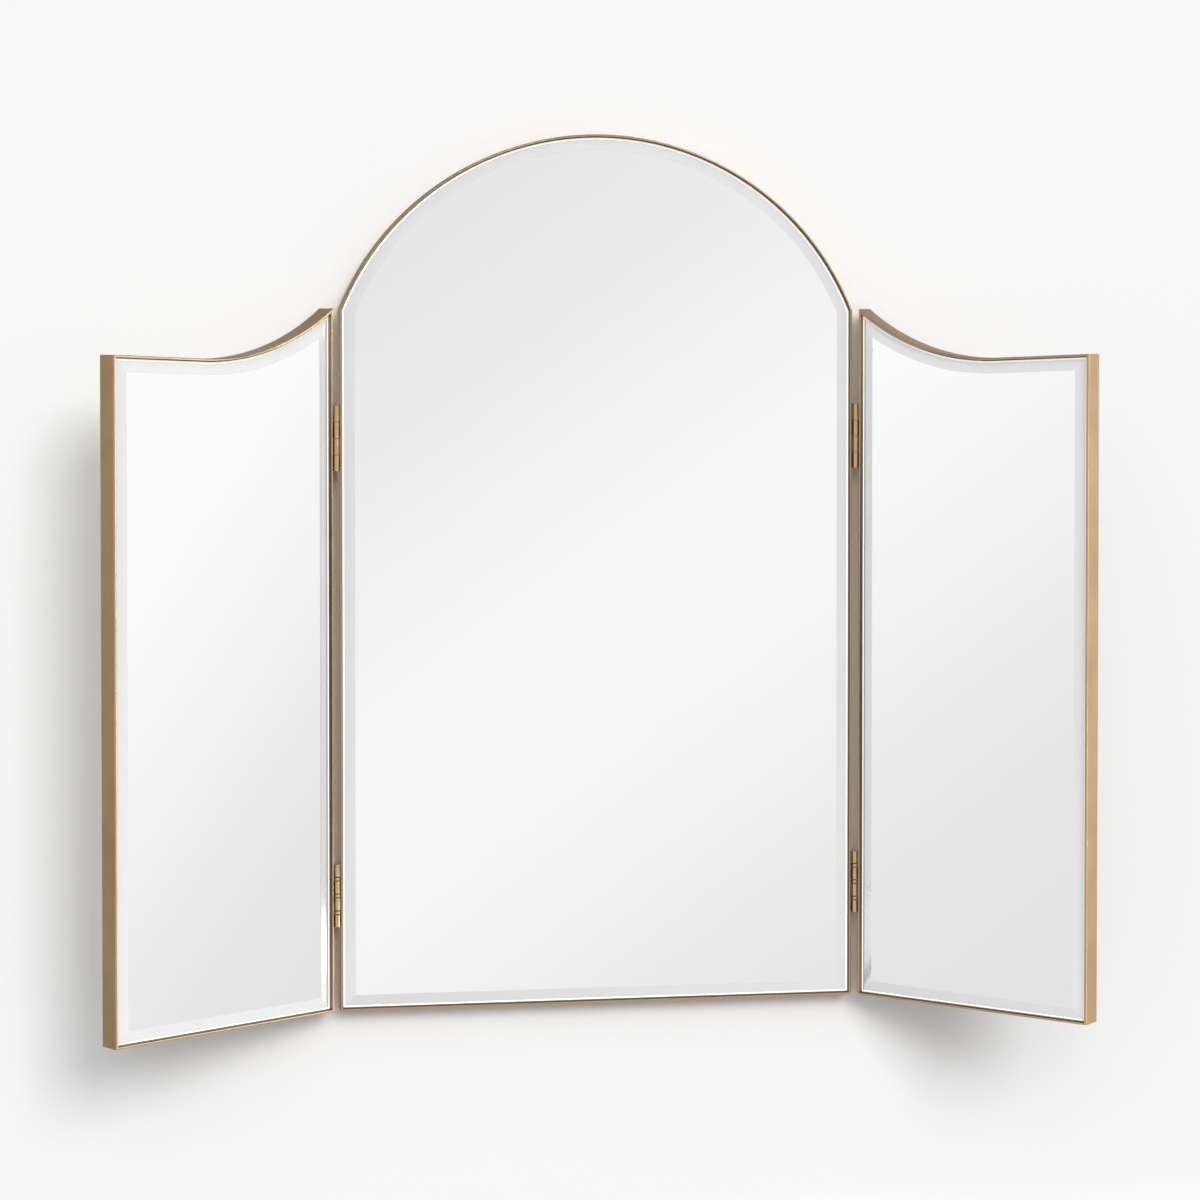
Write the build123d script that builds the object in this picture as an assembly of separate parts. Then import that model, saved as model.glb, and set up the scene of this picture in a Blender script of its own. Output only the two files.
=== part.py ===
from build123d import *
import os
from math import asin, cos, degrees, radians, sin, sqrt, tan

# Triple dressing table mirror: an arched centre panel with a hinged wing on each side.
# Each panel is a shallow brass tray, mitred at its corners, that holds a backing board,
# strips of mirror tape and a bevelled mirror. The board is screwed in from behind.
# Millimetres. X runs across, Y into the wall, Z up. The origin is the middle of the centre
# panel's bottom face. The wings stand part folded towards the viewer, as they are used.

# Centre panel
panel_width = 508.0
shoulder_height = 680.0
arch_rise = 171.5

# Wings, set by how they line up with the centre panel's shoulders
closing_gap = 3.0  # between the two wings when both lie closed over the centre panel
wing_peak_lift = 1.5  # hinge-side corner, above the shoulder
wing_outer_drop = 42.0  # outer corner, below the shoulder
wing_slope_angle = 2.3  # straight part of the top, which falls towards the hinges
wing_curve_span = 149.5  # from the hinge side to where the curve meets the straight part
left_fold_angle = 33.0
right_fold_angle = 44.6

# Frame section: an outer wall with a flange behind the board
frame_depth = 22.0
rim_width = 2.8
rim_round_share = 0.43  # rounding of the front edges, as a share of the rim's width
flange_width = 10.0
flange_thickness = 1.8
mitre_extra = 9.0  # the rails are cut to length with planes this much wider than they are
point_ease = 0.2  # taken off the sharp point of a wing's top rail, near the hinges

# What lies in the frame, from the front
glass_recess = 1.8  # front of the rim to the flat of the glass
glass_thickness = 5.0
glass_clearance = 0.3  # edge of the glass to the wall
bevel_width = 12.0
bevel_drop = 2.2
tape_thickness = 1.0
tape_width = 25.0
tape_margin = 40.0  # frame's edge to the ends of the strips
tape_pitch = 92.0
board_thickness = 9.0
board_clearance = 0.5

# Countersunk screws
screw_clearance = 0.05
board_screw_radius = 1.4
board_screw_head = 2.9
board_screw_length = 8.0
centre_screw_rows = 4  # up each side, on the flange
centre_screw_columns = 3  # along the top and the bottom
wing_screw_rows = 3
wing_screw_columns = 1
screw_point_length = 1.7
screw_point_radius = 0.5
hinge_screw_radius = 1.25
hinge_screw_head = 2.3
recess_depth = 0.5
recess_width = 0.6

# Hinges
hinge_gap = 6.1  # between the panels when a wing is open flat
hinge_proud = 0.5  # pivot in front of the frames
upper_hinge_length = 63.5
lower_hinge_length = 61.0
upper_hinge_drop = 124.0  # shoulder down to the middle of the upper hinges
lower_hinge_rise = 113.0  # bottom up to the middle of the lower hinges
barrel_radius = 2.65
pin_radius = 1.45
pin_clearance = 0.05
pin_inset = 0.3  # ends of the pin inside the ends of the barrel
pin_round = 0.6
knuckle_count = 4
knuckle_gap = 0.3
knuckle_round = 0.25
ring_height = 3.8
ring_round = 0.9
leaf_thickness = 1.2
leaf_depth = 17.0
leaf_notch = 0.4  # round the other leaf's knuckles
tongue_setback = 0.25  # leaves' tongues behind the front of the frames
leaf_corner = 2.0
hinge_screw_pitch = 21.0
hinge_screw_rows = 3

# Keyhole plates that hang the centre panel on two screw heads
hanger_inset = 84.0  # side of the panel to the middle of a plate
hanger_drop = 45.0  # shoulder down to the screw the plate hangs on
hanger_length = 50.0
hanger_width = 22.0
hanger_thickness = 1.5
hanger_corner = 4.0
keyhole_radius = 5.0
keyhole_slot_radius = 2.6
keyhole_slot_rise = 11.0
keyhole_pocket_margin = 2.0
keyhole_pocket_depth = 6.0
hanger_screw_margin = 6.0
hanger_screw_length = 7.0

# Worked out from the sizes above
front = -frame_depth / 2
glass_front = front + glass_recess
bevel_back = glass_front + bevel_drop
glass_back = glass_front + glass_thickness
board_front = glass_back + tape_thickness
board_back = board_front + board_thickness
flange_back = board_back + flange_thickness
section_width = rim_width + flange_width
glass_inset = rim_width + glass_clearance
board_inset = rim_width + board_clearance
screw_inset = rim_width + flange_width / 2
mitre_reach = section_width + mitre_extra
rim_round = rim_round_share * rim_width

half_width = panel_width / 2
arch_radius = (half_width**2 + arch_rise**2) / (2 * arch_rise)
arch_centre = shoulder_height + arch_rise - arch_radius

hinge_x = half_width + hinge_gap / 2
hinge_y = front - hinge_proud
wing_start = half_width + hinge_gap
wing_width = (panel_width - closing_gap) / 2
slope = radians(wing_slope_angle)
meet_x = wing_start + wing_curve_span
outer_height = shoulder_height - wing_outer_drop
meet_z = outer_height - (wing_width - wing_curve_span) * tan(slope)
peak_z = shoulder_height + wing_peak_lift
# The curve touches the slope at its meeting point and ends at the hinge-side corner.
peak_above_slope = (peak_z - meet_z) * cos(slope) + wing_curve_span * sin(slope)
curve_radius = (wing_curve_span**2 + (peak_z - meet_z) ** 2) / (2 * peak_above_slope)
curve_x = meet_x - curve_radius * sin(slope)
curve_z = meet_z + curve_radius * cos(slope)


def centre_top(x, inset):
    """Height of the arch at x, moved in from the frame's edge by inset."""
    return arch_centre + sqrt((arch_radius - inset) ** 2 - x**2)


def wing_top(x, inset):
    """Height of the right wing's top at x while it is open flat, moved in by inset."""
    slope_start = curve_x + (curve_radius + inset) * sin(slope)
    if x < slope_start:
        return curve_z - sqrt((curve_radius + inset) ** 2 - (x - curve_x) ** 2)
    start_z = curve_z - (curve_radius + inset) * cos(slope)
    return start_z + (x - slope_start) * tan(slope)


def centre_corners(inset):
    """Bottom left, bottom right, right shoulder and left shoulder."""
    side = half_width - inset
    shoulder = centre_top(side, inset)
    return [(-side, inset), (side, inset), (side, shoulder), (-side, shoulder)]


def wing_corners(inset):
    """Bottom near the hinges, bottom outer, top outer and top near the hinges."""
    near = wing_start + inset
    far = wing_start + wing_width - inset
    return [
        (near, inset),
        (far, inset),
        (far, wing_top(far, inset)),
        (near, wing_top(near, inset)),
    ]


def centre_outline(inset):
    """Face of the centre panel, moved in from the frame's edge by inset."""
    corners = centre_corners(inset)
    crown = (0, centre_top(0, inset))
    sides = Polyline(corners[3], corners[0], corners[1], corners[2])
    return make_face(sides + ThreePointArc(corners[2], crown, corners[3]))


def wing_outline(inset):
    """Face of the right wing while it is open flat, moved in by inset."""
    corners = wing_corners(inset)
    meet = curve_x + (curve_radius + inset) * sin(slope)
    middle = (corners[3][0] + meet) / 2
    points = [(x, wing_top(x, inset)) for x in (meet, middle)]
    sides = Polyline(corners[3], corners[0], corners[1], corners[2], points[0])
    return make_face(sides + ThreePointArc(points[0], points[1], corners[3]))


def upright(face, y_front, y_back):
    """Stands a flat face up and gives it the thickness from y_front to y_back."""
    return extrude(Plane.XZ.offset(-y_back) * face, amount=y_back - y_front)


def section():
    """Section of a rail: x runs in from its outer face, y towards the viewer."""
    wall = Pos(rim_width / 2, 0) * Rectangle(rim_width, frame_depth)
    front_corners = wall.vertices().group_by(Axis.Y)[-1]
    wall = fillet(front_corners, rim_round)
    middle = -(board_back + flange_back) / 2
    flange = Pos(rim_width + flange_width / 2, middle)
    return wall + flange * Rectangle(flange_width, flange_thickness)


def section_plane(x, z, dx, dz):
    """Plane of a section whose outer face is at x and z, on a rail that runs along dx, dz."""
    return Plane(origin=(x, 0, z), x_dir=(-dz, 0, dx), z_dir=(dx, 0, dz))


def straight_rail(start, end, extra_start, extra_end):
    """Rail between two corners, too long by the extra length at each end."""
    length = sqrt((end[0] - start[0]) ** 2 + (end[1] - start[1]) ** 2)
    dx, dz = (end[0] - start[0]) / length, (end[1] - start[1]) / length
    x, z = start[0] - dx * extra_start, start[1] - dz * extra_start
    face = section_plane(x, z, dx, dz) * section()
    return extrude(face, amount=length + extra_start + extra_end)


def arch_rail():
    """The whole circle that the arch is cut from."""
    face = section_plane(arch_radius, arch_centre, 0, 1) * section()
    return revolve(face, Axis((0, 0, arch_centre), (0, 1, 0)), 360)


def wing_top_rail():
    """Straight part and hollow curve of the right wing's top, too long at the outer end."""
    outer = wing_corners(0)[2]
    straight = straight_rail(outer, (meet_x, meet_z), mitre_reach, 0)
    near_angle = degrees(asin((curve_x - wing_start) / curve_radius))
    face = section_plane(meet_x, meet_z, -cos(slope), -sin(slope)) * section()
    axis = Axis((curve_x, 0, curve_z), (0, 1, 0))
    turn = wing_slope_angle + near_angle + degrees(mitre_reach / curve_radius)
    # Nothing of it lies nearer the centre panel than its eased point.
    beyond = Rectangle(2 * (wing_start + point_ease), 2 * (peak_z + mitre_reach))
    rail = straight + revolve(face, axis, turn)
    return rail - upright(beyond, -frame_depth, frame_depth)


def frame_rails(corners, top_rail, holes):
    """Bottom, far, top and near rails of a frame, cut to meet at mitres."""
    outer, inner = corners(0), corners(mitre_reach)
    beyond = [(2 * a[0] - b[0], 2 * a[1] - b[1]) for a, b in zip(outer, inner)]
    rails = {}
    for name, i, j in (("bottom", 0, 1), ("far", 1, 2), ("near", 3, 0)):
        blank = straight_rail(outer[i], outer[j], mitre_reach, mitre_reach)
        region = Polyline(beyond[i], beyond[j], inner[j], inner[i], close=True)
        rails[name] = blank & upright(make_face(region), -frame_depth, frame_depth)
    low = min(inner[2][1], inner[3][1]) - 2 * section_width
    high = shoulder_height + 2 * arch_rise
    region = Polyline(
        inner[2],
        beyond[2],
        (beyond[2][0], high),
        (beyond[3][0], high),
        beyond[3],
        inner[3],
        (inner[3][0], low),
        (inner[2][0], low),
        close=True,
    )
    rails["top"] = top_rail & upright(make_face(region), -frame_depth, frame_depth)
    return {name: rail - holes for name, rail in rails.items()}


def bevelled_glass(outline):
    """Mirror plate with a bevel all round its front edge."""
    body = upright(outline(glass_inset), bevel_back, glass_back)
    wide = Plane.XZ.offset(-bevel_back) * outline(glass_inset)
    narrow = Plane.XZ.offset(-glass_front) * outline(glass_inset + bevel_width)
    return body + loft([wide.face(), narrow.face()], ruled=True)


def tape_strips(outline, left, right):
    """Upright strips of mirror tape, evenly spaced between the sides of a panel."""
    height = shoulder_height + arch_rise
    count = max(1, round((right - left) / tape_pitch))
    inside = outline(tape_margin)
    strips = []
    for x in spread(left, right, count):
        strip = Pos(x, height / 2) * Rectangle(tape_width, height)
        strips.append(upright(strip & inside, glass_back, board_front))
    return strips


def spread(start, end, count):
    """Middles of count equal shares of the length from start to end."""
    return [start + (end - start) * (i + 0.5) / count for i in range(count)]


def machine_screw(head, radius, length):
    """Countersunk screw with a cross recess. It points down from the top of its head."""
    head_height = head - radius
    shank_length = length - head_height
    body = Pos(0, 0, -head_height / 2) * Cone(radius, head, head_height)
    body += Pos(0, 0, -head_height - shank_length / 2) * Cylinder(radius, shank_length)
    for turn in (0, 90):
        body -= Rot(0, 0, turn) * Box(2 * radius, recess_width, 2 * recess_depth)
    return body


def wood_screw(head, radius, length):
    """The same screw with a point at its end."""
    point = Cone(screw_point_radius, radius, screw_point_length)
    point_place = Pos(0, 0, screw_point_length / 2 - length)
    return machine_screw(head, radius, length - screw_point_length) + point_place * point


def screw_hole(head, radius, length):
    """Countersunk hole for a screw, with its clearance all round."""
    wide, thin = head + screw_clearance, radius + screw_clearance
    hole = Pos(0, 0, -(wide - thin) / 2) * Cone(thin, wide, wide - thin)
    depth = length + screw_clearance
    return hole + Pos(0, 0, -depth / 2) * Cylinder(thin, depth)


def facing(x, y, z, direction):
    """Place whose own up points along direction."""
    return Plane(origin=(x, y, z), z_dir=direction)


def board_screw_places(left, right, side_high, top, rows, columns):
    """Points on the flange of a panel whose sides are at left and right."""
    places = []
    for x in (left + screw_inset, right - screw_inset):
        for z in spread(section_width, side_high, rows):
            places.append((x, z))
    for x in spread(left + section_width, right - section_width, columns):
        places.append((x, screw_inset))
        places.append((x, top(x, screw_inset)))
    return places


def hinge_slots(length, gap):
    """Low and high end of each knuckle of a hinge, from the top down."""
    knuckle = (length - (knuckle_count - 1) * gap) / knuckle_count
    tops = [length / 2 - i * (knuckle + gap) for i in range(knuckle_count)]
    return [(top - knuckle, top) for top in tops]


def pivot_bore():
    """Hole for the pin, longer than any hinge."""
    return Cylinder(pin_radius + pin_clearance, 2 * upper_hinge_length)


def barrel_piece(low, high, rounding):
    """Ring round the pivot from low to high, with its outer edges rounded."""
    body = Pos(0, 0, (low + high) / 2) * Cylinder(barrel_radius, high - low)
    body = fillet(body.edges().filter_by(GeomType.CIRCLE), rounding)
    return body - pivot_bore()


def hinge_leaf(length, gap, first):
    """Leaf on the centre panel's right side, about the pivot, with every second knuckle."""
    outer = -hinge_gap / 2
    plate_start = barrel_radius + leaf_notch
    plate = Pos(outer + leaf_thickness / 2, plate_start + (leaf_depth - plate_start) / 2)
    leaf = plate * Box(leaf_thickness, leaf_depth - plate_start, length)
    corners = leaf.edges().filter_by(Axis.X).group_by(Axis.Y)[-1]
    leaf = fillet(corners, leaf_corner)
    tongue_start = hinge_proud + tongue_setback
    for low, high in hinge_slots(length, gap)[first::2]:
        tongue_place = Pos(
            outer + leaf_thickness / 2,
            (tongue_start + plate_start + leaf_notch) / 2,
            (low + high) / 2,
        )
        tongue_depth = plate_start + leaf_notch - tongue_start
        leaf += tongue_place * Box(leaf_thickness, tongue_depth, high - low)
        leaf += barrel_piece(low, high, knuckle_round)
    leaf -= pivot_bore()
    for z in hinge_screw_heights():
        face = facing(outer + leaf_thickness, leaf_screw_y(), z, (1, 0, 0))
        leaf -= face * screw_hole(hinge_screw_head, hinge_screw_radius, 2 * leaf_thickness)
    return leaf


def hinge_screw_heights():
    """Heights of a leaf's screws about the middle of the hinge."""
    middle = (hinge_screw_rows - 1) / 2
    return [(i - middle) * hinge_screw_pitch for i in range(hinge_screw_rows)]


def leaf_screw_y():
    """Depth of a leaf's screws behind the pivot."""
    return (barrel_radius + leaf_notch + leaf_depth) / 2


def hinge_places():
    """Name, height of the middle, length and gap between knuckles of each hinge."""
    upper_z = shoulder_height - upper_hinge_drop
    ringed_gap = ring_height + 2 * knuckle_gap
    return [
        ("upper", upper_z, upper_hinge_length, knuckle_gap),
        ("lower", lower_hinge_rise, lower_hinge_length, ringed_gap),
    ]


def hinge_pin(length):
    """Plain pin with rounded ends, just inside the barrel."""
    pin = Cylinder(pin_radius, length - 2 * pin_inset)
    return fillet(pin.edges().filter_by(GeomType.CIRCLE), pin_round)


def hinge_rings(length, gap):
    """Bearing rings in the gaps between the knuckles."""
    slots = hinge_slots(length, gap)
    rings = []
    for above, below in zip(slots, slots[1:]):
        low, high = below[1] + knuckle_gap, above[0] - knuckle_gap
        rings.append(barrel_piece(low, high, ring_round))
    return rings


def hinge_wall_screws(x, direction, z):
    """Machine screws of one leaf, from its outer face into the frame's wall."""
    length = leaf_thickness + rim_width
    head = x + direction * leaf_thickness
    shape = machine_screw(hinge_screw_head, hinge_screw_radius, length)
    places = [(head, hinge_y + leaf_screw_y(), z + dz) for dz in hinge_screw_heights()]
    return [facing(*place, (direction, 0, 0)) * shape for place in places]


def hinge_wall_holes(x, direction):
    """Holes for all the hinge screws in the frame wall whose outer face is at x."""
    radius = hinge_screw_radius + screw_clearance
    holes = []
    for _, z, _, _ in hinge_places():
        for dz in hinge_screw_heights():
            place = facing(x, hinge_y + leaf_screw_y(), z + dz, (direction, 0, 0))
            holes.append(place * Cylinder(radius, 3 * rim_width))
    return holes


def keyhole(margin, depth):
    """Round entry with a slot that rises from it, about the middle of the entry."""
    entry = Circle(keyhole_radius + margin)
    slot_radius = keyhole_slot_radius + margin
    slot = Pos(0, keyhole_slot_rise / 2) * Rectangle(2 * slot_radius, keyhole_slot_rise)
    end = Pos(0, keyhole_slot_rise) * Circle(slot_radius)
    return upright(entry + slot + end, 0, depth)


def hanger_origin(side):
    """Middle of a keyhole's entry, on the back of the board."""
    z = shoulder_height - hanger_drop - keyhole_slot_rise
    return (side * (half_width - hanger_inset), board_back, z)


def hanger_screw_places(side):
    """Top and bottom screw of a keyhole plate, on its back."""
    x, y, z = hanger_origin(side)
    middle = z + keyhole_slot_rise / 2
    reach = hanger_length / 2 - hanger_screw_margin
    back = y + hanger_thickness
    return [facing(x, back, middle + dz, (0, 1, 0)) for dz in (reach, -reach)]


def hanger_plate(side):
    """Steel plate with a keyhole, flat on the back of the board."""
    x, y, z = hanger_origin(side)
    outline = RectangleRounded(hanger_width, hanger_length, hanger_corner)
    plate = upright(Pos(0, keyhole_slot_rise / 2) * outline, 0, hanger_thickness)
    plate -= Pos(0, -hanger_thickness, 0) * keyhole(0, 3 * hanger_thickness)
    plate = Pos(x, y, z) * plate
    for place in hanger_screw_places(side):
        plate -= place * screw_hole(
            board_screw_head, board_screw_radius, 2 * hanger_thickness
        )
    return plate


def save(name, shape):
    """Writes one sub-part. A list of solids is written as one group."""
    shape = Compound(children=shape) if isinstance(shape, list) else shape
    export_step(shape, f"parts/{name}.step")


def panel_parts(prefix, shape, top_rail, rail_names, screw_places, hinge_walls, tape):
    """Sub-parts that every panel has, in its place while the wings are open flat."""
    outline, corners = shape
    screw_sizes = (board_screw_head, board_screw_radius, board_screw_length)
    places = [facing(x, flange_back, z, (0, 1, 0)) for x, z in screw_places]
    board_holes = [place * screw_hole(*screw_sizes) for place in places]
    wall_holes = [h for x, direction in hinge_walls for h in hinge_wall_holes(x, direction)]
    rails = frame_rails(corners, top_rail, board_holes + wall_holes)
    parts = {f"{prefix}_{rail_names[key]}": rail for key, rail in rails.items()}
    parts[f"{prefix}_mirror_glass"] = bevelled_glass(outline)
    parts[f"{prefix}_tape_strips"] = tape_strips(outline, *tape)
    board = upright(outline(board_inset), board_front, board_back)
    parts[f"{prefix}_backing_board"] = board - board_holes
    parts[f"{prefix}_board_screws"] = [place * wood_screw(*screw_sizes) for place in places]
    return parts


def centre_parts():
    """Centre panel with its hanging plates and its halves of the four hinges."""
    inside = half_width - section_width
    pattern = (centre_screw_rows, centre_screw_columns)
    places = board_screw_places(
        -half_width, half_width, shoulder_height, centre_top, *pattern
    )
    rail_names = {
        "bottom": "bottom_rail",
        "far": "right_stile",
        "near": "left_stile",
        "top": "arch_rail",
    }
    walls = [(half_width, 1), (-half_width, -1)]
    shape = (centre_outline, centre_corners)
    tape = (-inside, inside)
    parts = panel_parts("centre", shape, arch_rail(), rail_names, places, walls, tape)
    board = parts["centre_backing_board"]
    plate_screws = []
    for name, side in (("left", -1), ("right", 1)):
        parts[f"{name}_hanger_plate"] = hanger_plate(side)
        x, y, z = hanger_origin(side)
        pocket = keyhole(keyhole_pocket_margin, 2 * keyhole_pocket_depth)
        board -= Pos(x, y - keyhole_pocket_depth, z) * pocket
        for place in hanger_screw_places(side):
            sizes = (board_screw_head, board_screw_radius, hanger_screw_length)
            plate_screws.append(place * wood_screw(*sizes))
            board -= place * screw_hole(*sizes)
    parts["centre_backing_board"] = board
    parts["hanger_plate_screws"] = plate_screws
    parts.update(centre_hinge_parts())
    return parts


def centre_hinge_parts():
    """Leaves, pins and rings that stay with the centre panel."""
    parts = {}
    screws = []
    for level, z, length, gap in hinge_places():
        leaf = Pos(hinge_x, hinge_y, z) * hinge_leaf(length, gap, 0)
        pin = Pos(hinge_x, hinge_y, z) * hinge_pin(length)
        screws += hinge_wall_screws(half_width, 1, z)
        parts[f"{level}_right_hinge_centre_leaf"] = leaf
        parts[f"{level}_left_hinge_centre_leaf"] = mirror(leaf, about=Plane.YZ)
        parts[f"{level}_right_hinge_pin"] = pin
        parts[f"{level}_left_hinge_pin"] = mirror(pin, about=Plane.YZ)
        if gap > ring_height:
            rings = [Pos(hinge_x, hinge_y, z) * ring for ring in hinge_rings(length, gap)]
            parts[f"{level}_right_hinge_rings"] = rings
            parts[f"{level}_left_hinge_rings"] = [mirror(r, about=Plane.YZ) for r in rings]
    parts["centre_hinge_screws"] = screws + [mirror(s, about=Plane.YZ) for s in screws]
    return parts


def wing_parts():
    """Right wing open flat, with its halves of the two hinges. Names lack the side."""
    wing_end = wing_start + wing_width
    pattern = (wing_screw_rows, wing_screw_columns)
    places = board_screw_places(wing_start, wing_end, outer_height, wing_top, *pattern)
    rail_names = {
        "bottom": "bottom_rail",
        "far": "outer_stile",
        "near": "inner_stile",
        "top": "top_rail",
    }
    shape = (wing_outline, wing_corners)
    walls = [(wing_start, -1)]
    tape = (wing_start + section_width, wing_end - section_width)
    parts = panel_parts("wing", shape, wing_top_rail(), rail_names, places, walls, tape)
    screws = []
    for level, z, length, gap in hinge_places():
        leaf = mirror(hinge_leaf(length, gap, 1), about=Plane.YZ)
        parts[f"{level}_hinge_wing_leaf"] = Pos(hinge_x, hinge_y, z) * leaf
        screws += hinge_wall_screws(wing_start, -1, z)
    parts["wing_hinge_screws"] = screws
    return parts


def fold(shape, side, angle):
    """Takes a right-wing shape to its side and folds it towards the viewer."""
    if side < 0:
        shape = mirror(shape, about=Plane.YZ)
    return shape.rotate(Axis((side * hinge_x, hinge_y, 0), (0, 0, 1)), -side * angle)


def wing_name(name, side_name):
    """Name of a wing's sub-part with its side put in."""
    if name.startswith("wing_"):
        return f"{side_name}_{name}"
    return name.replace("_hinge_", f"_{side_name}_hinge_")


def main():
    os.makedirs("parts", exist_ok=True)
    for name, shape in centre_parts().items():
        save(name, shape)
    wing = wing_parts()
    sides = (("left", -1, left_fold_angle), ("right", 1, right_fold_angle))
    for side_name, side, angle in sides:
        for name, shape in wing.items():
            if isinstance(shape, list):
                folded = [fold(solid, side, angle) for solid in shape]
            else:
                folded = fold(shape, side, angle)
            save(wing_name(name, side_name), folded)
    print("hinge pivots", round(hinge_x, 3), round(hinge_y, 3))
    print("hangers", hanger_origin(-1), hanger_origin(1))
    print("arch radius", round(arch_radius, 2), "wing curve radius", round(curve_radius, 2))


main()
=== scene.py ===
import math
from collections import namedtuple

import bpy
from mathutils import Euler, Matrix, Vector


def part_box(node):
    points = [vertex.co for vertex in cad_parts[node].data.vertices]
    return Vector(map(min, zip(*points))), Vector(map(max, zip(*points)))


# Looks of the triple dressing table mirror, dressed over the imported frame, in metres.
# The mirror hangs on a pale wall, as in the photograph, above a pale floor. Every CAD node
# keeps its shape and gets a material made of nodes here.

# Camera, fitted to the lines of the photograph
CAMERA_PLACE = (-0.5198, -3.177, 0.6595)
CAMERA_YAW = 9.34  # degrees to the right of straight at the wall
CAMERA_PITCH = 1.55  # degrees below level
CAMERA_LENS = 98.49
CAMERA_SHIFT = -0.15

# Room
WALL_GAP = 0.0006  # behind the back of the centre panel
WALL_REACH = 3.0  # from the middle to each side
WALL_HEIGHT = 2.6
FLOOR_DROP = 0.30  # below the bottom of the mirror
FLOOR_REACH = 3.0
COVE_RADIUS = 0.10
COVE_STEPS = 12
COVE_FADE = 0.7  # upward part of the cove's normal where the floor's colour is full
PAPER_WHITE = 0.947  # the wall's tone in the photograph, linear
FLOOR_COLOUR = 0.72

# Light on the object. The room's light comes more from above than from below.
KEY_DIRECTION = (-0.31, 1.0, -0.56)  # from the upper right, as the wall's shadows show
KEY_STRENGTH = 1.26
KEY_ANGLE = 25.0
FILL_DIRECTION = (0.12, 1.0, -0.58)  # nearly from the front
FILL_STRENGTH = 0.42
FILL_ANGLE = 30.0
BACK_DIRECTION = (0.5, -1.0, -0.6)
BACK_STRENGTH = 1.3
BACK_ANGLE = 25.0
AMBIENT = 0.56
AMBIENT_RISE = 0.46

# Soft bands of light that the glass shows. Each stop is where a band turns, and its
# brightness there from 0 to 255, chosen so that the glass looks as in the photograph.
FRONT_BANDS = ((-0.05, 221), (0.10, 235), (0.19, 247), (0.25, 246), (0.36, 230), (0.60, 222),
               (0.69, 248))
SIDE_BANDS = ((-0.12, 222), (-0.04, 252), (0.05, 251), (0.21, 229), (0.43, 219), (0.50, 243),
              (0.60, 248), (0.74, 245), (0.84, 229))
PLAIN_BANDS = ((-13, 238), (-8, 230), (-4, 222), (10, 222))  # over the elevation in degrees

# Slant of the bands, over the direction that the glass reflects: how fast they climb, to the
# right for those in front and towards the wall for those at the sides, and where they start
Slant = namedtuple("Slant", "climb start")
FRONT_SLANT = Slant(0.729, 0.0)
RIGHT_SLANT = Slant(1.659, 0.602)
LEFT_SLANT = Slant(-0.785, -0.169)

# Bearings in degrees over which one part of the studio passes into the next
FRONT_MIDDLE = 10.0  # the middle of the front bands
FRONT_TO_PLAIN = (12.0, 22.0)  # away from that middle
PLAIN_TO_SIDE = (54.0, 64.0)
SIDE_TO_WALL = (96.0, 108.0)

# Walls of the studio beside and behind the mirror, darker low down
LEFT_WALL = 0.52
RIGHT_WALL = 0.86
BEHIND = 0.45
WALL_CORNER = 110  # bearing at which the walls start to pass into what is behind
LOW_WALL = 0.66
HIGH_WALL = 1.08  # over 1, so that the wall has its full light before the end of its rise
WALL_RISE = (-13.0, -1.0)  # elevations over which the walls get lighter

# Cards and lamps of the studio, which only metal and glass show: first and last bearing,
# where 0 is straight in front and 90 is to the right, first and last elevation, and light
Card = namedtuple("Card", "left right low high light")
CARDS = (
    Card(-200, 200, 33, 120, 0.42),  # ceiling
    Card(-200, 200, -120, -46, 0.72),  # pale floor
    Card(36, 78, 36, 58, 5.5),  # lamp at the upper right
    Card(74, 87, -16, 12, 7.0),  # window on the right
)
CARD_BLUR = 2.5  # degrees, at each edge of a card

# Where each panel stands at rest: the point that it is turned about, the turn in degrees,
# the middle of its glass from that point, the centre of the round part of its top, and the
# tone of its bevels' haze, set by panel as painted light for the light that its bevels show
Panel = namedtuple("Panel", "name axis turn middle top_centre haze")
PANELS = (
    Panel("centre", (0.0, 0.0), 0.0, (0.0, 0.36), (0.0, 0.5777), 0.75),
    Panel("left_wing", (-0.25705, -0.0115), 33.0, (-0.13, 0.32), (-0.1433, 0.8634), 0.94),
    Panel("right_wing", (0.25705, -0.0115), -44.6, (0.13, 0.32), (0.1433, 0.8634), 0.86),
)
RAIL_RUNS = {
    "stile": "upright", "bottom_rail": "level", "wing_top_rail": "round", "arch_rail": "round",
}
GRAIN_PULL = 0.012  # share of the brushing's fineness that is left along a rail
ROUND_PULL = 0.003  # the same along a round rail, for each radian

# Depths in the glass, from its panel's middle plane, where lower is nearer to the viewer
GLASS_FLAT = -0.00915  # in front of this is the flat face, and behind it the bevel
GROUND_EDGE = -0.00730  # behind this the edge of the bevel is ground, and white
GLASS_BACK = -0.0045

# Mirror
SILVER = 0.95  # share of the light that the mirror gives back
SMUDGE_LOSS = 0.006  # what smudges take from it
SMUDGE_ROUGHNESS = 0.012
BEVEL_ROUGHNESS = 0.11
BEVEL_HAZE = 0.5  # share of the bevel that scatters light, as the photograph's plain bevels do
HAZE_SPREAD = 0.015  # how uneven the haze is
PAINTED_EDGE_GLOW = 0.6  # painted glow: emission that keeps the ground edge light
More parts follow.
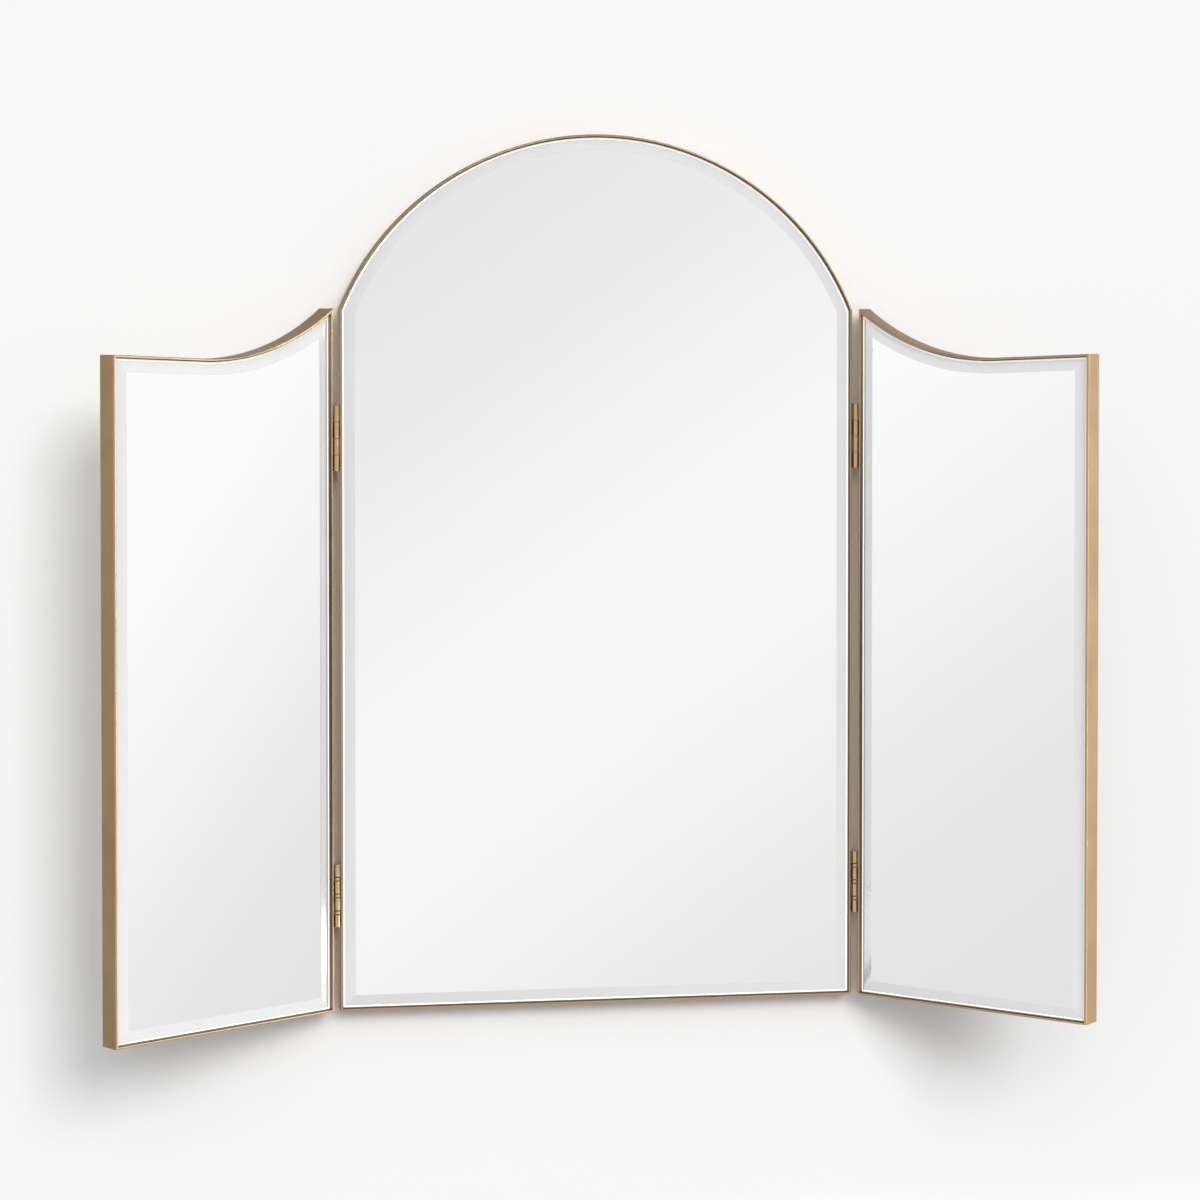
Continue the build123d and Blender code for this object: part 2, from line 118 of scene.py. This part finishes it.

# Colours, linear
PLASTER = (0.925, 0.935)
BRASS = (0.565, 0.385, 0.215)
BRASS_DEEP = (0.49, 0.325, 0.175)
# Painted shade: the dark brown put on brass where shade falls
PAINTED_SHADE_BROWN = (0.075, 0.045, 0.020)
POLISHED_BRASS = (0.62, 0.43, 0.24)
SCREW_BRASS = (0.60, 0.42, 0.22)
GROUND_GREEN = (0.86, 0.90, 0.88)
GROUND_WHITE = (0.95, 0.96, 0.95)
BACK_PAINT_DEEP = (0.20, 0.22, 0.23)
BACK_PAINT = (0.25, 0.27, 0.28)
BOARD_DEEP = (0.33, 0.315, 0.29)
BOARD = (0.49, 0.475, 0.45)
BOARD_FLECK = (0.22, 0.20, 0.175)
BOARD_PATCH = (0.38, 0.355, 0.32)
ZINC_DEEP = (0.46, 0.47, 0.49)
ZINC = (0.62, 0.63, 0.64)
PASSIVE_YELLOW = (0.62, 0.55, 0.36)
PASSIVE_GREY = (0.60, 0.58, 0.50)
PASSIVE_VIOLET = (0.55, 0.52, 0.56)
FOAM = (0.60, 0.82)

# Sockets of a mix node for colours, by their places
MIX_SHARE = 0
MIX_FIRST = 6
MIX_SECOND = 7
MIX_RESULT = 2


def linear(tone):
    """Light of a written brightness from 0 to 255."""
    share = tone / 255
    if share <= 0.04045:
        return share / 12.92
    return ((share + 0.055) / 1.055) ** 2.4


class Tree:
    """Adds nodes to a node tree and joins them, by short calls."""

    def __init__(self, tree):
        self.tree = tree
        tree.nodes.clear()

    def node(self, kind, links=None, values=None, **settings):
        """A node, with its inputs joined to sockets or set to values."""
        made = self.tree.nodes.new(kind)
        for key, value in settings.items():
            setattr(made, key, value)
        for key, value in (values or {}).items():
            made.inputs[key].default_value = value
        for key, socket in (links or {}).items():
            self.tree.links.new(socket, made.inputs[key])
        return made

    def math(self, operation, *terms):
        """Result of a sum on sockets and numbers."""
        made = self.tree.nodes.new("ShaderNodeMath")
        made.operation = operation
        for place, term in zip(made.inputs, terms):
            if isinstance(term, (int, float)):
                place.default_value = term
            else:
                self.tree.links.new(term, place)
        return made.outputs[0]

    def ramp(self, socket, stops):
        """Colour ramp from its first stop to its last. A stop is a place and a colour or grey."""
        low = stops[0][0]
        high = stops[-1][0]
        spread = self.node(
            "ShaderNodeMapRange", {"Value": socket}, {"From Min": low, "From Max": high}
        )
        made = self.node("ShaderNodeValToRGB", {"Fac": spread.outputs[0]})
        elements = made.color_ramp.elements
        while len(elements) < len(stops):
            elements.new(0.5)
        for element, (place, colour) in zip(elements, stops):
            element.position = (place - low) / (high - low)
            grey = isinstance(colour, (int, float))
            element.color = (*((colour,) * 3 if grey else colour), 1.0)
        return made.outputs["Color"]

    def mix(self, share, first, second):
        """Colour between two colours, greys or colour sockets."""
        made = self.tree.nodes.new("ShaderNodeMix")
        made.data_type = "RGBA"
        for place, term in ((MIX_SHARE, share), (MIX_FIRST, first), (MIX_SECOND, second)):
            if isinstance(term, (int, float)):
                grey = (term, term, term, 1.0)
                made.inputs[place].default_value = term if place == MIX_SHARE else grey
            elif isinstance(term, tuple):
                made.inputs[place].default_value = (*term, 1.0)
            else:
                self.tree.links.new(term, made.inputs[place])
        return made.outputs[MIX_RESULT]

    def step(self, socket, low, high):
        """0 below low and 1 above high, with a smooth change between."""
        made = self.node(
            "ShaderNodeMapRange",
            {"Value": socket},
            {"From Min": low, "From Max": high},
            interpolation_type="SMOOTHSTEP",
        )
        return made.outputs[0]

    def range(self, socket, low, high):
        """Number between low and high, where the socket goes from 0 to 1."""
        made = self.node("ShaderNodeMapRange", {"Value": socket}, {"To Min": low, "To Max": high})
        return made.outputs[0]

    def noise(self, place, scale, detail=3.0):
        """Soft noise from 0 to 1."""
        made = self.node(
            "ShaderNodeTexNoise", {"Vector": place}, {"Scale": scale, "Detail": detail}
        )
        return made.outputs[0]

    def stretched(self, place, scale):
        """Place with each axis multiplied."""
        made = self.node("ShaderNodeMapping", {"Vector": place}, {"Scale": scale})
        return made.outputs[0]

    def parts(self, vector):
        """The X, Y and Z of a vector."""
        return self.node("ShaderNodeSeparateXYZ", {"Vector": vector}).outputs

    def found(self, kind):
        """Where the ray hits, how the surface faces there, or which way the ray goes."""
        return self.node("ShaderNodeTexCoord").outputs[kind]

    def coat(self, colour, rough, relief, depth, metallic=0.0):
        """Shader with a colour, a roughness and a relief that rises by depth metres."""
        bump = self.node(
            "ShaderNodeBump", {"Height": relief}, {"Strength": 1.0, "Distance": depth}
        )
        return self.node(
            "ShaderNodeBsdfPrincipled",
            {"Base Color": colour, "Roughness": rough, "Normal": bump.outputs["Normal"]},
            {"Metallic": metallic},
        )

    def either(self, share, first, second):
        """Shader between two shaders."""
        return self.node(
            "ShaderNodeMixShader", {0: share, 1: first.outputs[0], 2: second.outputs[0]}
        )

    def surface(self, shader):
        """Ends the material with its shader."""
        self.node("ShaderNodeOutputMaterial", {"Surface": shader.outputs[0]})


def new_material(name):
    """An empty material and its tree."""
    material = bpy.data.materials.new(name)
    material.use_nodes = True
    return material, Tree(material.node_tree)


def band_light(tree, socket, bands):
    """Light of the studio along its bands, as the mirror needs it."""
    return tree.ramp(socket, [(place, linear(tone) / SILVER) for place, tone in bands])


def slanted(tree, along, slant):
    """How far up the bands have climbed at a place along them."""
    return tree.math("ADD", tree.math("MULTIPLY", along, slant.climb), slant.start)


def card_share(tree, bearing, elevation, card):
    """1 on a card of the studio and 0 beside it, with a soft edge."""
    share = 1.0
    for angle, first, last in ((bearing, card.left, card.right), (elevation, card.low, card.high)):
        after = tree.step(angle, first - CARD_BLUR, first)
        before = tree.step(angle, last + CARD_BLUR, last)
        share = tree.math("MULTIPLY", share, tree.math("MULTIPLY", after, before))
    return share


def studio_walls(tree, bearing, elevation):
    """Light of the walls beside and behind the mirror."""
    wall = tree.ramp(bearing, [
        (-180, BEHIND), (-WALL_CORNER, LEFT_WALL), (WALL_CORNER, RIGHT_WALL), (180, BEHIND),
    ])
    height = tree.range(tree.step(elevation, *WALL_RISE), LOW_WALL, HIGH_WALL)
    return tree.mix(height, 0.0, wall)


def studio_light(tree, x, y, z):
    """Light that metal and glass show, by the direction that they reflect."""
    ahead = tree.math("MULTIPLY", y, -1.0)
    bearing = tree.math("DEGREES", tree.math("ARCTAN2", x, ahead))
    elevation = tree.math("DEGREES", tree.math("ARCSINE", z))
    aside = tree.math("ABSOLUTE", bearing)

    front = tree.math("SUBTRACT", slanted(tree, x, FRONT_SLANT), z)
    on_right = tree.math("GREATER_THAN", x, 0.0)
    on_left = tree.math("SUBTRACT", 1.0, on_right)
    right = tree.math("MULTIPLY", slanted(tree, y, RIGHT_SLANT), on_right)
    left = tree.math("MULTIPLY", slanted(tree, y, LEFT_SLANT), on_left)
    side = tree.math("SUBTRACT", tree.math("ADD", right, left), z)
    off_middle = tree.math("ABSOLUTE", tree.math("SUBTRACT", bearing, FRONT_MIDDLE))

    light = band_light(tree, front, FRONT_BANDS)
    plain = band_light(tree, elevation, PLAIN_BANDS)
    light = tree.mix(tree.step(off_middle, *FRONT_TO_PLAIN), light, plain)
    beside = band_light(tree, side, SIDE_BANDS)
    light = tree.mix(tree.step(aside, *PLAIN_TO_SIDE), light, beside)
    walls = studio_walls(tree, bearing, elevation)
    light = tree.mix(tree.step(aside, *SIDE_TO_WALL), light, walls)
    for card in CARDS:
        light = tree.mix(card_share(tree, bearing, elevation, card), light, card.light)
    return light


def make_world():
    """Plain light for the object, white for the camera, and the studio for metal and glass."""
    world = bpy.data.worlds.new("studio")
    bpy.context.scene.world = world
    world.use_nodes = True
    tree = Tree(world.node_tree)
    axes = tree.parts(tree.found("Generated"))
    studio = studio_light(tree, axes["X"], axes["Y"], axes["Z"])
    path = tree.node("ShaderNodeLightPath").outputs
    shiny = tree.math("MAXIMUM", path["Is Glossy Ray"], path["Is Transmission Ray"])
    ambient = tree.math("ADD", tree.math("MULTIPLY", axes["Z"], AMBIENT_RISE), AMBIENT)
    colour = tree.mix(shiny, ambient, studio)
    colour = tree.mix(path["Is Camera Ray"], colour, PAPER_WHITE)
    background = tree.node("ShaderNodeBackground", {"Color": colour}, {"Strength": 1.0})
    tree.node("ShaderNodeOutputWorld", {"Surface": background.outputs[0]})


def make_sun(name, direction, strength, angle):
    """Lamp far away that shines along a direction. The glass doesn't show it."""
    lamp = bpy.data.lights.new(name, "SUN")
    lamp.energy = strength
    lamp.angle = math.radians(angle)
    sun = bpy.data.objects.new(name, lamp)
    sun.rotation_mode = "QUATERNION"
    sun.rotation_quaternion = Vector(direction).to_track_quat("-Z", "Y")
    sun.visible_glossy = False
    bpy.context.scene.collection.objects.link(sun)


def make_camera():
    """Camera that stands where the photograph's did."""
    lens = bpy.data.cameras.new("camera")
    lens.lens = CAMERA_LENS
    lens.shift_y = CAMERA_SHIFT
    camera = bpy.data.objects.new("camera", lens)
    camera.location = CAMERA_PLACE
    camera.rotation_euler = Euler(
        (math.radians(90 - CAMERA_PITCH), 0.0, -math.radians(CAMERA_YAW))
    )
    bpy.context.scene.collection.objects.link(camera)
    bpy.context.scene.camera = camera


def room_material():
    """White plaster with a very fine grain, greyer on the floor. From behind it is clear."""
    material, tree = new_material("white_plaster")
    grain = tree.noise(tree.found("Object"), scale=260.0)
    tone = tree.ramp(grain, [(0.3, PLASTER[0]), (0.7, PLASTER[1])])
    up = tree.parts(tree.found("Normal"))["Z"]
    tone = tree.mix(tree.step(up, 0.0, COVE_FADE), tone, FLOOR_COLOUR)
    plaster = tree.node("ShaderNodeBsdfDiffuse", {"Color": tone})
    clear = tree.node("ShaderNodeBsdfTransparent")
    behind = tree.node("ShaderNodeNewGeometry").outputs["Backfacing"]
    tree.surface(tree.either(behind, plaster, clear))
    return material


def make_room():
    """Wall that the mirror hangs on, and the floor, joined by a cove, as one sheet."""
    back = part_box("centre_left_stile")[1].y + WALL_GAP
    profile = [(back, WALL_HEIGHT)]
    for i in range(COVE_STEPS + 1):
        turn = math.radians(90 * i / COVE_STEPS)
        y = back - COVE_RADIUS * (1 - math.cos(turn))
        z = -FLOOR_DROP + COVE_RADIUS * (1 - math.sin(turn))
        profile.append((y, z))
    profile.append((back - FLOOR_REACH, -FLOOR_DROP))
    points = [(x, y, z) for y, z in profile for x in (-WALL_REACH, WALL_REACH)]
    faces = [(i, i + 2, i + 3, i + 1) for i in range(0, len(points) - 2, 2)]
    mesh = bpy.data.meshes.new("room")
    mesh.from_pydata(points, [], faces)
    for face in mesh.polygons:
        face.use_smooth = True
    mesh.materials.append(room_material())
    room = bpy.data.objects.new("room", mesh)
    bpy.context.scene.collection.objects.link(room)
    for ray in ("visible_diffuse", "visible_glossy", "visible_transmission", "visible_shadow"):
        setattr(room, ray, False)


def panel_place(tree, panel):
    """Place on a panel, as if the panel stood flat."""
    made = tree.node(
        "ShaderNodeMapping",
        {"Vector": tree.found("Object")},
        {"Location": (*panel.axis, 0.0), "Rotation": (0.0, 0.0, math.radians(panel.turn))},
        vector_type="TEXTURE",
    )
    return made.outputs[0]


def panel_facing(tree, panel):
    """Way that the surface of a panel faces, as if the panel stood flat."""
    made = tree.node(
        "ShaderNodeMapping",
        {"Vector": tree.found("Normal")},
        {"Rotation": (0.0, 0.0, -math.radians(panel.turn))},
        vector_type="VECTOR",
    )
    return made.outputs[0]


def panel_depth(tree, panel, place):
    """How far behind its panel's middle plane a place is."""
    return tree.math("ADD", tree.parts(place)["Y"], panel.axis[1])


def facing_in(tree, panel, place):
    """1 on walls that face the middle of their panel, and 0 on the others."""
    across, up = panel.middle
    away = tree.node(
        "ShaderNodeVectorMath", {0: place}, {1: (across, 0.0, up)}, operation="SUBTRACT"
    )
    inward = tree.stretched(away.outputs[0], (-1.0, 0.0, -1.0))
    way = tree.node("ShaderNodeVectorMath", {0: inward}, operation="NORMALIZE")
    match = tree.node(
        "ShaderNodeVectorMath",
        {0: way.outputs[0], 1: panel_facing(tree, panel)},
        operation="DOT_PRODUCT",
    )
    return tree.step(match.outputs["Value"], low=0.12, high=0.5)


def along_grain(tree, panel, place, run):
    """Place in which the brushing of a rail runs along one axis, pulled out long."""
    if run == "upright":
        return tree.stretched(place, (1.0, 1.0, GRAIN_PULL))
    if run == "level":
        return tree.stretched(place, (GRAIN_PULL, 1.0, 1.0))
    axes = tree.parts(place)
    x = tree.math("SUBTRACT", axes["X"], panel.top_centre[0])
    z = tree.math("SUBTRACT", axes["Z"], panel.top_centre[1])
    square = tree.math("ADD", tree.math("MULTIPLY", x, x), tree.math("MULTIPLY", z, z))
    far = tree.math("SQRT", square)
    turn = tree.math("MULTIPLY", tree.math("ARCTAN2", z, x), ROUND_PULL)
    joined = tree.node("ShaderNodeCombineXYZ", {"X": far, "Y": axes["Y"], "Z": turn})
    return joined.outputs[0]


def satin_brass(panel, run):
    """Brushed, lacquered brass, with soft cloudy patches, and painted shade inside the rim: dark
    brown on the walls that face the glass, where shade falls.
    """
    material, tree = new_material(f"{panel.name}_{run}_satin_brass")
    place = panel_place(tree, panel)
    grain = tree.noise(along_grain(tree, panel, place, run), scale=2600.0, detail=4.0)
    clouds = tree.noise(place, scale=22.0, detail=4.0)
    lines = tree.math("MULTIPLY", grain, 0.45)
    shade = tree.math("ADD", lines, tree.math("MULTIPLY", clouds, 0.55))
    colour = tree.ramp(shade, [(0.32, BRASS_DEEP), (0.62, BRASS)])
    # Painted shade: dark brown, in blotches, on the rim's inner walls that face the glass, where
    # shade falls.
    painted_lip_shade = facing_in(tree, panel, place)
    blotches = tree.range(tree.noise(place, scale=90.0), low=0.82, high=1.0)
    colour = tree.mix(tree.math("MULTIPLY", painted_lip_shade, blotches), colour, PAINTED_SHADE_BROWN)
    rough = tree.range(shade, low=0.24, high=0.42)
    rough = tree.math("ADD", rough, tree.math("MULTIPLY", painted_lip_shade, 0.12))
    tree.surface(tree.coat(colour, rough, grain, depth=0.00002, metallic=1.0))
    return material


def polished_brass():
    """Turned and polished brass of the hinges, with fine rings from the lathe.

    The sides of the barrels and leaves, and the seams between the knuckles, carry painted shade:
    dark brown where shade and dark reflections fall.
    """
    material, tree = new_material("polished_hinge_brass")
    place = tree.found("Object")
    facing = tree.parts(tree.found("Normal"))
    # Painted shade: the sides that face across and the knuckles' ends at the seams are made dark
    # brown.
    side = tree.step(tree.math("ABSOLUTE", facing["X"]), low=0.60, high=0.86)
    painted_seam_shade = tree.step(tree.math("ABSOLUTE", facing["Z"]), low=0.15, high=0.5)
    rings = tree.noise(tree.stretched(place, (0.05, 0.05, 1.0)), scale=3200.0, detail=2.0)
    clouds = tree.noise(place, scale=140.0)
    colour = tree.ramp(clouds, [(0.3, BRASS), (0.6, POLISHED_BRASS)])
    colour = tree.mix(tree.math("MAXIMUM", side, painted_seam_shade), colour, PAINTED_SHADE_BROWN)
    rough = tree.range(tree.math("MULTIPLY", rings, clouds), low=0.08, high=0.30)
    tree.surface(tree.coat(colour, rough, rings, depth=0.00001, metallic=1.0))
    return material


def screw_brass():
    """Brass of the hinges' machine screws, a little brighter on the rubbed places."""
    material, tree = new_material("screw_brass")
    rub = tree.noise(tree.found("Object"), scale=900.0, detail=5.0)
    colour = tree.ramp(rub, [(0.35, BRASS_DEEP), (0.65, SCREW_BRASS)])
    rough = tree.range(rub, low=0.18, high=0.46)
    tree.surface(tree.coat(colour, rough, rub, depth=0.00001, metallic=1.0))
    return material


def silvered(tree, place, on_bevel):
    """Shader of the mirror's front, with faint smudges and waves."""
    smudges = tree.step(tree.noise(place, scale=9.0, detail=6.0), low=0.55, high=0.85)
    waves = tree.noise(place, scale=6.0, detail=1.0)
    colour = tree.ramp(smudges, [(0.0, SILVER), (1.0, SILVER - SMUDGE_LOSS)])
    rough = tree.math("ADD", tree.math("MULTIPLY", on_bevel, BEVEL_ROUGHNESS),
                      tree.math("MULTIPLY", smudges, SMUDGE_ROUGHNESS))
    return tree.coat(colour, rough, waves, depth=0.00001, metallic=1.0)


def ground_glass(tree, grit):
    """Shader of the white ground edge, with a painted glow: an emission that keeps it light
    whatever falls on it.
    """
    colour = tree.ramp(grit, [(0.3, GROUND_GREEN), (0.7, GROUND_WHITE)])
    shader = tree.coat(colour, tree.range(grit, low=0.35, high=0.6), grit, depth=0.00002)
    tree.tree.links.new(colour, shader.inputs["Emission Color"])
    shader.inputs["Emission Strength"].default_value = PAINTED_EDGE_GLOW
    return shader


def mirror_glass(panel):
    """Silvered glass: a clear flat, a softly polished bevel, a ground edge and a painted back."""
    material, tree = new_material(f"{panel.name}_mirror")
    place = panel_place(tree, panel)
    depth = panel_depth(tree, panel, place)
    on_bevel = tree.math("GREATER_THAN", depth, GLASS_FLAT)
    clouds = tree.noise(place, scale=40.0)
    # Painted light: the haze's tone is set by panel, lighter on the wings than on the centre.
    haze = tree.node("ShaderNodeBsdfDiffuse", {"Color": tree.ramp(clouds, [
        (0.3, panel.haze - HAZE_SPREAD), (0.7, panel.haze + HAZE_SPREAD),
    ])})
    hazy = tree.math("MULTIPLY", on_bevel, BEVEL_HAZE)
    front = tree.either(hazy, silvered(tree, place, on_bevel), haze)
    grit = tree.noise(place, scale=2400.0, detail=4.0)
    paint = tree.node("ShaderNodeBsdfPrincipled", {
        "Base Color": tree.ramp(grit, [(0.3, BACK_PAINT_DEEP), (0.7, BACK_PAINT)]),
        "Roughness": tree.range(grit, low=0.5, high=0.7),
    })
    on_edge = tree.math("GREATER_THAN", depth, GROUND_EDGE)
    on_back = tree.math("GREATER_THAN", depth, GLASS_BACK)
    edged = tree.either(on_edge, front, ground_glass(tree, grit))
    tree.surface(tree.either(on_back, edged, paint))
    return material


def fibreboard():
    """Grey-primed fibreboard: short pressed fibres, darker flecks and a faint shine."""
    material, tree = new_material("primed_fibreboard")
    place = tree.found("Object")
    bends = tree.node("ShaderNodeTexNoise", {"Vector": place}, {"Scale": 60.0, "Detail": 2.0})
    pushed = tree.stretched(bends.outputs["Color"], (0.01, 0.01, 0.01))
    wavy = tree.node("ShaderNodeVectorMath", {0: place, 1: pushed}, operation="ADD")
    fibres = tree.noise(
        tree.stretched(wavy.outputs[0], (1.0, 1.0, 0.22)), scale=520.0, detail=6.0
    )
    flecks = tree.step(tree.noise(place, scale=420.0, detail=5.0), low=0.60, high=0.70)
    patches = tree.range(tree.noise(place, scale=7.0), low=0.0, high=0.35)
    colour = tree.ramp(fibres, [(0.32, BOARD_DEEP), (0.68, BOARD)])
    colour = tree.mix(tree.math("MULTIPLY", flecks, 0.5), colour, BOARD_FLECK)
    colour = tree.mix(patches, colour, BOARD_PATCH)
    rough = tree.range(fibres, low=0.55, high=0.85)
    tree.surface(tree.coat(colour, rough, fibres, depth=0.00012))
    return material


def plated_steel():
    """Zinc-plated sheet with a faint pattern of crystals."""
    material, tree = new_material("zinc_plated_sheet")
    place = tree.found("Object")
    crystals = tree.node("ShaderNodeTexVoronoi", {"Vector": place}, {"Scale": 420.0})
    tone = tree.node("ShaderNodeSeparateColor", {"Color": crystals.outputs["Color"]}).outputs[0]
    colour = tree.ramp(tone, [(0.0, ZINC_DEEP), (1.0, ZINC)])
    rough = tree.range(tone, low=0.26, high=0.46)
    grit = tree.noise(place, scale=1500.0)
    tree.surface(tree.coat(colour, rough, grit, depth=0.00001, metallic=1.0))
    return material


def screw_steel():
    """Yellow-passivated zinc of the wood screws."""
    material, tree = new_material("passivated_screw_steel")
    bloom = tree.noise(tree.found("Object"), scale=420.0, detail=4.0)
    colour = tree.ramp(
        bloom, [(0.3, PASSIVE_YELLOW), (0.5, PASSIVE_GREY), (0.7, PASSIVE_VIOLET)]
    )
    rough = tree.range(bloom, low=0.24, high=0.42)
    tree.surface(tree.coat(colour, rough, bloom, depth=0.00001, metallic=1.0))
    return material


def foam_tape():
    """White foam of the mirror tape, with open bubbles."""
    material, tree = new_material("white_foam")
    bubbles = tree.node(
        "ShaderNodeTexVoronoi", {"Vector": tree.found("Object")}, {"Scale": 1800.0}
    )
    depth = bubbles.outputs["Distance"]
    colour = tree.ramp(depth, [(0.1, FOAM[0]), (0.6, FOAM[1])])
    rough = tree.range(depth, low=0.95, high=0.75)
    tree.surface(tree.coat(colour, rough, depth, depth=0.0001))
    return material


def wear(node, material):
    """Gives a node one material in place of its own."""
    node.data.materials.clear()
    node.data.materials.append(material)


def dress(nodes):
    """Gives every CAD node its material."""
    plain = {
        "hinge_screws": screw_brass(), "plate_screws": screw_steel(),
        "board_screws": screw_steel(), "hanger_plate": plated_steel(),
        "backing_board": fibreboard(), "tape_strips": foam_tape(), "hinge": polished_brass(),
    }
    glass = {panel.name: mirror_glass(panel) for panel in PANELS}
    brass = {
        (panel.name, run): satin_brass(panel, run)
        for panel in PANELS for run in ("upright", "level", "round")
    }
    for name, node in nodes.items():
        panel = next((panel.name for panel in PANELS if name.startswith(panel.name)), "centre")
        run = next((run for word, run in RAIL_RUNS.items() if name.endswith(word)), None)
        if name.endswith("mirror_glass"):
            wear(node, glass[panel])
        elif run:
            wear(node, brass[panel, run])
        else:
            wear(node, next(material for word, material in plain.items() if word in name))


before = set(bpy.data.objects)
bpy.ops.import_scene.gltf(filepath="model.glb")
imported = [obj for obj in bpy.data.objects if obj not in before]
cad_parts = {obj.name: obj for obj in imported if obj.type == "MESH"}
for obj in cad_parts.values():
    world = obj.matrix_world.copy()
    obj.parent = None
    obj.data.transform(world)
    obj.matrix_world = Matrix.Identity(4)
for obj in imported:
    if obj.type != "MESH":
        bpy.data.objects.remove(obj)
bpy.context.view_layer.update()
bpy.context.scene.view_settings.view_transform = "Standard"
make_camera()
make_world()
make_sun("key", KEY_DIRECTION, KEY_STRENGTH, KEY_ANGLE)
make_sun("fill", FILL_DIRECTION, FILL_STRENGTH, FILL_ANGLE)
make_sun("back", BACK_DIRECTION, BACK_STRENGTH, BACK_ANGLE)
make_room()
dress(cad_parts)
